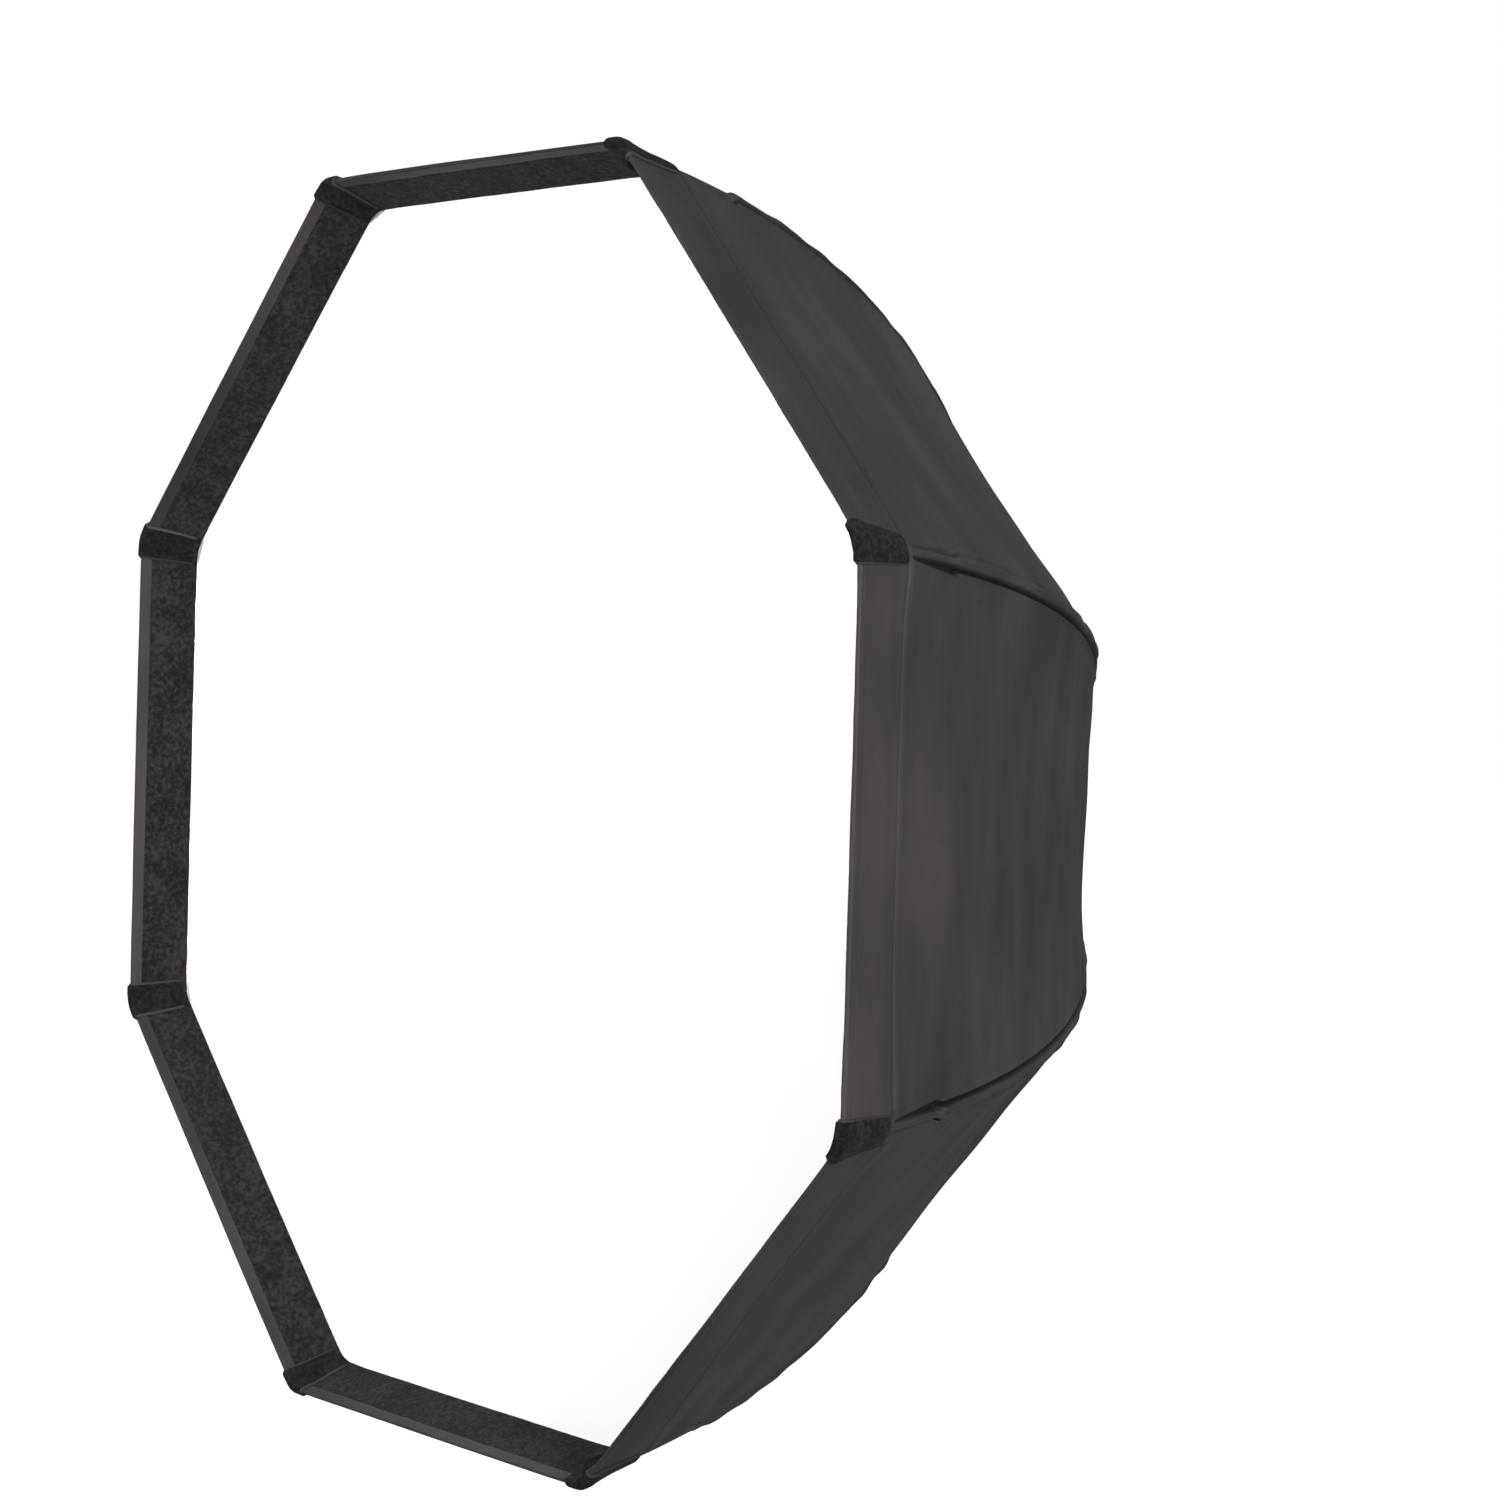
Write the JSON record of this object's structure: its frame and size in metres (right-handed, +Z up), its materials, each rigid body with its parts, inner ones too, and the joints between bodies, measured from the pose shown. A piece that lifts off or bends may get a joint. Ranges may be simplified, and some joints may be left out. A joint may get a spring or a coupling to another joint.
{
  "type": "octabox",
  "caption": "Folding octagonal softbox: curved steel ribs on a speed ring spread a black cloth shell, lined in silver, with a white front diffuser behind a deep lip.",
  "frame": {"origin": "centre of the rear face of the mounting insert, where the flash head's front meets it", "axes": "-Y forward through the diffuser, along the light's axis; +Z up; +X to the right as seen from the front"},
  "size_m": [1.113, 0.6029, 1.113],
  "materials": {
    "shell_cloth": "soft sheen",
    "tab_tape": "fuzzy matt",
    "diffuser_cloth": "matt",
    "rod_steel": "polished",
    "ring_alloy": "satin",
    "white_tape": "matt",
    "knob_plastic": "matt"
  },
  "bodies": {
    "insert": {"mount_insert": "ring_alloy", "retaining_ring": "ring_alloy"},
    "ring": {"speed_ring": "ring_alloy", "bridge": "ring_alloy", "shaft": "rod_steel", "rear_binding": "tab_tape", "bracket_1": "ring_alloy", "bracket_2": "ring_alloy", "bracket_3": "ring_alloy", "bracket_4": "ring_alloy", "bracket_5": "ring_alloy", "bracket_6": "ring_alloy", "bracket_7": "ring_alloy", "bracket_8": "ring_alloy"},
    "lock": {"lock_screw": "knob_plastic"},
    "runner": {"runner": "ring_alloy"},
    "button": {"release_button": "rod_steel"},
    "diffuser": {"diffuser": "diffuser_cloth"},
    "arm_1": {"rib_1": "rod_steel", "gore_1": "shell_cloth", "tab_1": "tab_tape"},
    "arm_2": {"rib_2": "rod_steel", "gore_2": "shell_cloth", "tab_2": "tab_tape", "rib_loop_2": "white_tape"},
    "arm_3": {"rib_3": "rod_steel", "gore_3": "shell_cloth", "tab_3": "tab_tape"},
    "arm_4": {"rib_4": "rod_steel", "gore_4": "shell_cloth", "tab_4": "tab_tape", "rib_loop_4": "white_tape"},
    "arm_5": {"rib_5": "rod_steel", "gore_5": "shell_cloth", "tab_5": "tab_tape"},
    "arm_6": {"rib_6": "rod_steel", "gore_6": "shell_cloth", "tab_6": "tab_tape", "rib_loop_6": "white_tape"},
    "arm_7": {"rib_7": "rod_steel", "gore_7": "shell_cloth", "tab_7": "tab_tape"},
    "arm_8": {"rib_8": "rod_steel", "gore_8": "shell_cloth", "tab_8": "tab_tape", "rib_loop_8": "white_tape"},
    "link_1": {"strut_1": "rod_steel"},
    "link_2": {"strut_2": "rod_steel"},
    "link_3": {"strut_3": "rod_steel"},
    "link_4": {"strut_4": "rod_steel"},
    "link_5": {"strut_5": "rod_steel"},
    "link_6": {"strut_6": "rod_steel"},
    "link_7": {"strut_7": "rod_steel"},
    "link_8": {"strut_8": "rod_steel"}
  },
  "joints": [
    {"name": "insert_turn", "type": "hinge", "parent": "insert", "child": "ring", "pos_m": [0, 0, 0], "axis": [0, -1, 0], "continuous": true},
    {"name": "lock_screw_turn", "type": "hinge", "parent": "ring", "child": "lock", "pos_m": [0.1, -0.011, 0], "axis": [1, 0, 0], "range_deg": [0, 180]},
    {"name": "frame_fold", "type": "hinge", "parent": "ring", "child": "arm_1", "pos_m": [0.0753, -0.02, 0.03119], "axis": [0.3827, 0, -0.9239], "range_deg": [0, 40], "deforming": ["gore_1", "diffuser"]},
    {"name": "rib_2_fold", "type": "hinge", "parent": "ring", "child": "arm_2", "pos_m": [0.03119, -0.02, 0.0753], "axis": [0.9239, 0, -0.3827], "range_deg": [0, 40], "deforming": ["gore_2"]},
    {"name": "rib_3_fold", "type": "hinge", "parent": "ring", "child": "arm_3", "pos_m": [-0.03119, -0.02, 0.0753], "axis": [0.9239, 0, 0.3827], "range_deg": [0, 40], "deforming": ["gore_3"]},
    {"name": "rib_4_fold", "type": "hinge", "parent": "ring", "child": "arm_4", "pos_m": [-0.0753, -0.02, 0.03119], "axis": [0.3827, 0, 0.9239], "range_deg": [0, 40], "deforming": ["gore_4"]},
    {"name": "rib_5_fold", "type": "hinge", "parent": "ring", "child": "arm_5", "pos_m": [-0.0753, -0.02, -0.03119], "axis": [-0.3827, 0, 0.9239], "range_deg": [0, 40], "deforming": ["gore_5"]},
    {"name": "rib_6_fold", "type": "hinge", "parent": "ring", "child": "arm_6", "pos_m": [-0.03119, -0.02, -0.0753], "axis": [-0.9239, 0, 0.3827], "range_deg": [0, 40], "deforming": ["gore_6"]},
    {"name": "rib_7_fold", "type": "hinge", "parent": "ring", "child": "arm_7", "pos_m": [0.03119, -0.02, -0.0753], "axis": [-0.9239, 0, -0.3827], "range_deg": [0, 40], "deforming": ["gore_7"]},
    {"name": "rib_8_fold", "type": "hinge", "parent": "ring", "child": "arm_8", "pos_m": [0.0753, -0.02, -0.03119], "axis": [-0.3827, 0, -0.9239], "range_deg": [0, 40], "deforming": ["gore_8"]},
    {"name": "runner_slide", "type": "slide", "parent": "ring", "child": "runner", "axis": [0, -1, 0], "range_m": [0, 0.1378]},
    {"name": "strut_1_swing", "type": "hinge", "parent": "runner", "child": "link_1", "pos_m": [0.0231, -0.12, 0.00957], "axis": [-0.3827, 0, 0.9239], "range_deg": [0, 29.2]},
    {"name": "strut_2_swing", "type": "hinge", "parent": "runner", "child": "link_2", "pos_m": [0.00957, -0.12, 0.0231], "axis": [-0.9239, 0, 0.3827], "range_deg": [0, 29.2]},
    {"name": "strut_3_swing", "type": "hinge", "parent": "runner", "child": "link_3", "pos_m": [-0.00957, -0.12, 0.0231], "axis": [-0.9239, 0, -0.3827], "range_deg": [0, 29.2]},
    {"name": "strut_4_swing", "type": "hinge", "parent": "runner", "child": "link_4", "pos_m": [-0.0231, -0.12, 0.00957], "axis": [-0.3827, 0, -0.9239], "range_deg": [0, 29.2]},
    {"name": "strut_5_swing", "type": "hinge", "parent": "runner", "child": "link_5", "pos_m": [-0.0231, -0.12, -0.00957], "axis": [0.3827, 0, -0.9239], "range_deg": [0, 29.2]},
    {"name": "strut_6_swing", "type": "hinge", "parent": "runner", "child": "link_6", "pos_m": [-0.00957, -0.12, -0.0231], "axis": [0.9239, 0, -0.3827], "range_deg": [0, 29.2]},
    {"name": "strut_7_swing", "type": "hinge", "parent": "runner", "child": "link_7", "pos_m": [0.00957, -0.12, -0.0231], "axis": [0.9239, 0, 0.3827], "range_deg": [0, 29.2]},
    {"name": "strut_8_swing", "type": "hinge", "parent": "runner", "child": "link_8", "pos_m": [0.0231, -0.12, -0.00957], "axis": [0.3827, 0, 0.9239], "range_deg": [0, 29.2]},
    {"name": "release_press", "type": "slide", "parent": "runner", "child": "button", "axis": [-1, 0, 0], "range_m": [0, 0.002], "stiffness_N_per_m": 400},
    {"name": "diffuser_off", "type": "slide", "parent": "runner", "child": "diffuser", "axis": [0, -1, 0], "range_m": [0, 0.4]}
  ],
  "couplings": [
    {"joint": "rib_2_fold", "follows": "frame_fold", "ratio": 1},
    {"joint": "rib_3_fold", "follows": "frame_fold", "ratio": 1},
    {"joint": "rib_4_fold", "follows": "frame_fold", "ratio": 1},
    {"joint": "rib_5_fold", "follows": "frame_fold", "ratio": 1},
    {"joint": "rib_6_fold", "follows": "frame_fold", "ratio": 1},
    {"joint": "rib_7_fold", "follows": "frame_fold", "ratio": 1},
    {"joint": "rib_8_fold", "follows": "frame_fold", "ratio": 1},
    {"joint": "runner_slide", "follows": "frame_fold", "m_per_rad": 0.19737},
    {"joint": "strut_1_swing", "follows": "frame_fold", "ratio": 0.72798},
    {"joint": "strut_2_swing", "follows": "frame_fold", "ratio": 0.72798},
    {"joint": "strut_3_swing", "follows": "frame_fold", "ratio": 0.72798},
    {"joint": "strut_4_swing", "follows": "frame_fold", "ratio": 0.72798},
    {"joint": "strut_5_swing", "follows": "frame_fold", "ratio": 0.72798},
    {"joint": "strut_6_swing", "follows": "frame_fold", "ratio": 0.72798},
    {"joint": "strut_7_swing", "follows": "frame_fold", "ratio": 0.72798},
    {"joint": "strut_8_swing", "follows": "frame_fold", "ratio": 0.72798}
  ]
}
